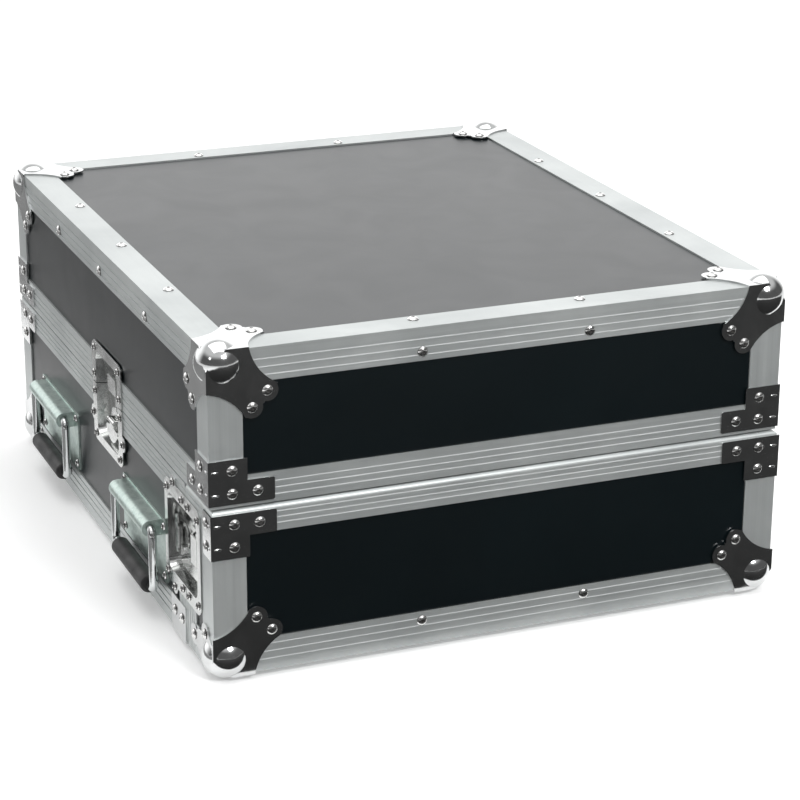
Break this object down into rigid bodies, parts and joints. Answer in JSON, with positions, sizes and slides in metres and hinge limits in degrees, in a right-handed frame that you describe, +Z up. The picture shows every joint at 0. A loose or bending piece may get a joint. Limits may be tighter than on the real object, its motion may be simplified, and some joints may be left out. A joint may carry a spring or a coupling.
{
  "type": "equipment rack case",
  "caption": "Flight case for a mixer and rack units: plywood shells with aluminium angles, lift-off lid, pull-off front cover, butterfly latches and drop handles.",
  "frame": {"origin": "under the middle of the case, at the height of its ball corners' lowest points", "axes": "+X to the right across the front, +Y towards the back, +Z up; the front cover faces -Y"},
  "size_m": [0.574, 0.6509, 0.303],
  "materials": {
    "laminate": "satin laminate",
    "aluminium": "natural anodised",
    "chrome_steel": "bright plated",
    "rivet_steel": "bright zinc",
    "latch_steel": "bright plated",
    "handle_zinc": "clear passivated zinc",
    "rod_steel": "polished plated rod",
    "grip_rubber": "matt",
    "rail_steel": "black powder coat",
    "foam": "open cell foam"
  },
  "bodies": {
    "base": {"base_bottom_panel": "laminate", "base_back_panel": "laminate", "base_left_panel": "laminate", "base_right_panel": "laminate", "base_edge_angles": "aluminium", "base_rim_profiles": "aluminium", "base_front_frame": "aluminium", "base_ball_corners": "chrome_steel", "base_brace_corners": "chrome_steel", "base_fixings": "rivet_steel", "latch_dishes": "latch_steel", "handle_plates": "handle_zinc", "top_rail_left": "rail_steel", "top_rail_right": "rail_steel", "front_rail_left": "rail_steel", "front_rail_right": "rail_steel"},
    "lid": {"lid_top_panel": "laminate", "lid_front_panel": "laminate", "lid_back_panel": "laminate", "lid_left_panel": "laminate", "lid_right_panel": "laminate", "lid_top_angles": "aluminium", "lid_corner_angles": "aluminium", "lid_rim_profiles": "aluminium", "lid_ball_corners": "chrome_steel", "lid_brace_corners": "chrome_steel", "lid_rivets": "rivet_steel", "lid_keepers": "latch_steel", "lid_foam": "foam"},
    "cover": {"cover_front_panel": "laminate", "cover_bottom_panel": "laminate", "cover_left_cheek": "laminate", "cover_right_cheek": "laminate", "cover_edge_angles": "aluminium", "cover_top_rim": "aluminium", "cover_rear_rim": "aluminium", "cover_ball_corners": "chrome_steel", "cover_brace_corners": "chrome_steel", "cover_rivets": "rivet_steel", "cover_keepers": "latch_steel"},
    "bail_left_front": {"handle_bail_left_front": "rod_steel", "handle_grip_left_front": "grip_rubber"},
    "bail_left_rear": {"handle_bail_left_rear": "rod_steel", "handle_grip_left_rear": "grip_rubber"},
    "rotor_mid_left": {"latch_rotor_mid_left": "latch_steel"},
    "wing_mid_left": {"latch_wing_mid_left": "latch_steel"},
    "hook_mid_left": {"latch_hook_mid_left": "latch_steel"},
    "rotor_front_left": {"latch_rotor_front_left": "latch_steel"},
    "wing_front_left": {"latch_wing_front_left": "latch_steel"},
    "hook_front_left": {"latch_hook_front_left": "latch_steel"},
    "bail_right_front": {"handle_bail_right_front": "rod_steel", "handle_grip_right_front": "grip_rubber"},
    "bail_right_rear": {"handle_bail_right_rear": "rod_steel", "handle_grip_right_rear": "grip_rubber"},
    "rotor_mid_right": {"latch_rotor_mid_right": "latch_steel"},
    "wing_mid_right": {"latch_wing_mid_right": "latch_steel"},
    "hook_mid_right": {"latch_hook_mid_right": "latch_steel"},
    "rotor_front_right": {"latch_rotor_front_right": "latch_steel"},
    "wing_front_right": {"latch_wing_front_right": "latch_steel"},
    "hook_front_right": {"latch_hook_front_right": "latch_steel"}
  },
  "joints": [
    {"name": "lid_lift", "type": "slide", "parent": "base", "child": "lid", "axis": [0, 0, 1], "range_m": [0, 0.16]},
    {"name": "cover_pull", "type": "slide", "parent": "base", "child": "cover", "axis": [0, -1, 0], "range_m": [0, 0.12]},
    {"name": "handle_left_front_swing", "type": "hinge", "parent": "base", "child": "bail_left_front", "pos_m": [-0.2785, -0.119, 0.088], "axis": [0, 1, 0], "range_deg": [0, 95]},
    {"name": "handle_left_rear_swing", "type": "hinge", "parent": "base", "child": "bail_left_rear", "pos_m": [-0.2785, 0.175, 0.088], "axis": [0, 1, 0], "range_deg": [0, 95]},
    {"name": "latch_mid_left_turn", "type": "hinge", "parent": "base", "child": "rotor_mid_left", "pos_m": [-0.268, -0.009, 0.131], "axis": [1, 0, 0], "range_deg": [0, 180]},
    {"name": "latch_mid_left_wing_fold", "type": "hinge", "parent": "rotor_mid_left", "child": "wing_mid_left", "pos_m": [-0.2648, -0.009, 0.131], "axis": [0, 1, 0], "range_deg": [0, 90]},
    {"name": "latch_mid_left_hook_slide", "type": "slide", "parent": "base", "child": "hook_mid_left", "axis": [0, 0, 1], "range_m": [0, 0.0071]},
    {"name": "latch_front_left_turn", "type": "hinge", "parent": "base", "child": "rotor_front_left", "pos_m": [-0.268, -0.22, 0.0975], "axis": [1, 0, 0], "range_deg": [0, 180]},
    {"name": "latch_front_left_wing_fold", "type": "hinge", "parent": "rotor_front_left", "child": "wing_front_left", "pos_m": [-0.2648, -0.22, 0.0975], "axis": [0, 0, 1], "range_deg": [0, 90]},
    {"name": "latch_front_left_hook_slide", "type": "slide", "parent": "base", "child": "hook_front_left", "axis": [0, -1, 0], "range_m": [0, 0.0071]},
    {"name": "handle_right_front_swing", "type": "hinge", "parent": "base", "child": "bail_right_front", "pos_m": [0.2785, -0.119, 0.088], "axis": [0, -1, 0], "range_deg": [0, 95]},
    {"name": "handle_right_rear_swing", "type": "hinge", "parent": "base", "child": "bail_right_rear", "pos_m": [0.2785, 0.175, 0.088], "axis": [0, -1, 0], "range_deg": [0, 95]},
    {"name": "latch_mid_right_turn", "type": "hinge", "parent": "base", "child": "rotor_mid_right", "pos_m": [0.268, -0.009, 0.131], "axis": [1, 0, 0], "range_deg": [0, 180]},
    {"name": "latch_mid_right_wing_fold", "type": "hinge", "parent": "rotor_mid_right", "child": "wing_mid_right", "pos_m": [0.2648, -0.009, 0.131], "axis": [0, -1, 0], "range_deg": [0, 90]},
    {"name": "latch_mid_right_hook_slide", "type": "slide", "parent": "base", "child": "hook_mid_right", "axis": [0, 0, 1], "range_m": [0, 0.0071]},
    {"name": "latch_front_right_turn", "type": "hinge", "parent": "base", "child": "rotor_front_right", "pos_m": [0.268, -0.22, 0.0975], "axis": [1, 0, 0], "range_deg": [0, 180]},
    {"name": "latch_front_right_wing_fold", "type": "hinge", "parent": "rotor_front_right", "child": "wing_front_right", "pos_m": [0.2648, -0.22, 0.0975], "axis": [0, 0, -1], "range_deg": [0, 90]},
    {"name": "latch_front_right_hook_slide", "type": "slide", "parent": "base", "child": "hook_front_right", "axis": [0, -1, 0], "range_m": [0, 0.0071]}
  ],
  "couplings": [
    {"joint": "latch_mid_left_hook_slide", "follows": "latch_mid_left_turn", "m_per_rad": 0.0022282},
    {"joint": "latch_front_left_hook_slide", "follows": "latch_front_left_turn", "m_per_rad": 0.0022282},
    {"joint": "latch_mid_right_hook_slide", "follows": "latch_mid_right_turn", "m_per_rad": 0.0022282},
    {"joint": "latch_front_right_hook_slide", "follows": "latch_front_right_turn", "m_per_rad": 0.0022282}
  ]
}
